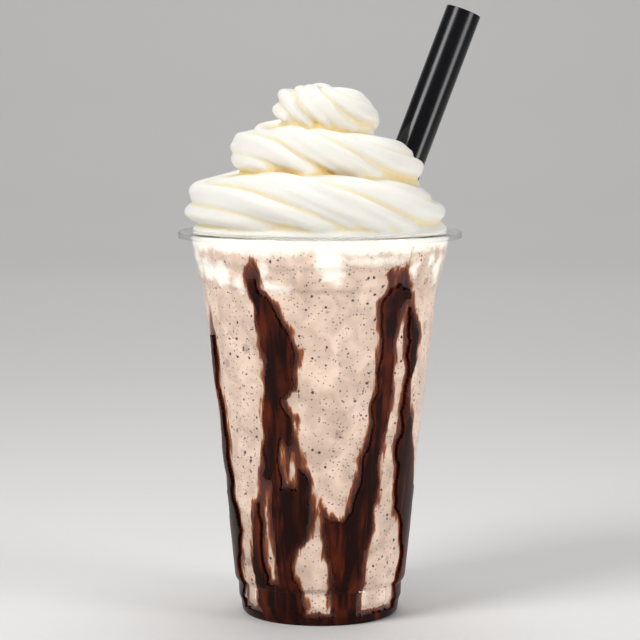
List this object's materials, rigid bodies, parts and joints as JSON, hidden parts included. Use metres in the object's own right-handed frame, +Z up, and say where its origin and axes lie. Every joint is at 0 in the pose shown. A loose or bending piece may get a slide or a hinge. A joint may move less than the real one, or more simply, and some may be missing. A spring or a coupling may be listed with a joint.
{
  "type": "cookies and cream milkshake",
  "caption": "Cookies and cream milkshake in a clear plastic cup, chocolate sauce run down the wall, a piped swirl of whipped cream on top and a black straw leaning out of it",
  "frame": {"origin": "the centre of the ring that the cup stands on, on the table plane", "axes": "+Z up along the cup's axis, -Y the front, +X to the right, the way the straw leans"},
  "size_m": [0.1017, 0.095, 0.2043],
  "materials": {
    "clear_plastic": "glossy clear PET",
    "black_plastic": "glossy black",
    "shake": "soft and opaque, with fine dark crumbs",
    "sauce": "wet and glossy",
    "cream": "soft satin"
  },
  "bodies": {
    "root": {"cup": "clear_plastic", "straw": "black_plastic", "milkshake": "shake", "chocolate_sauce": "sauce", "whipped_cream": "cream"}
  },
  "joints": []
}
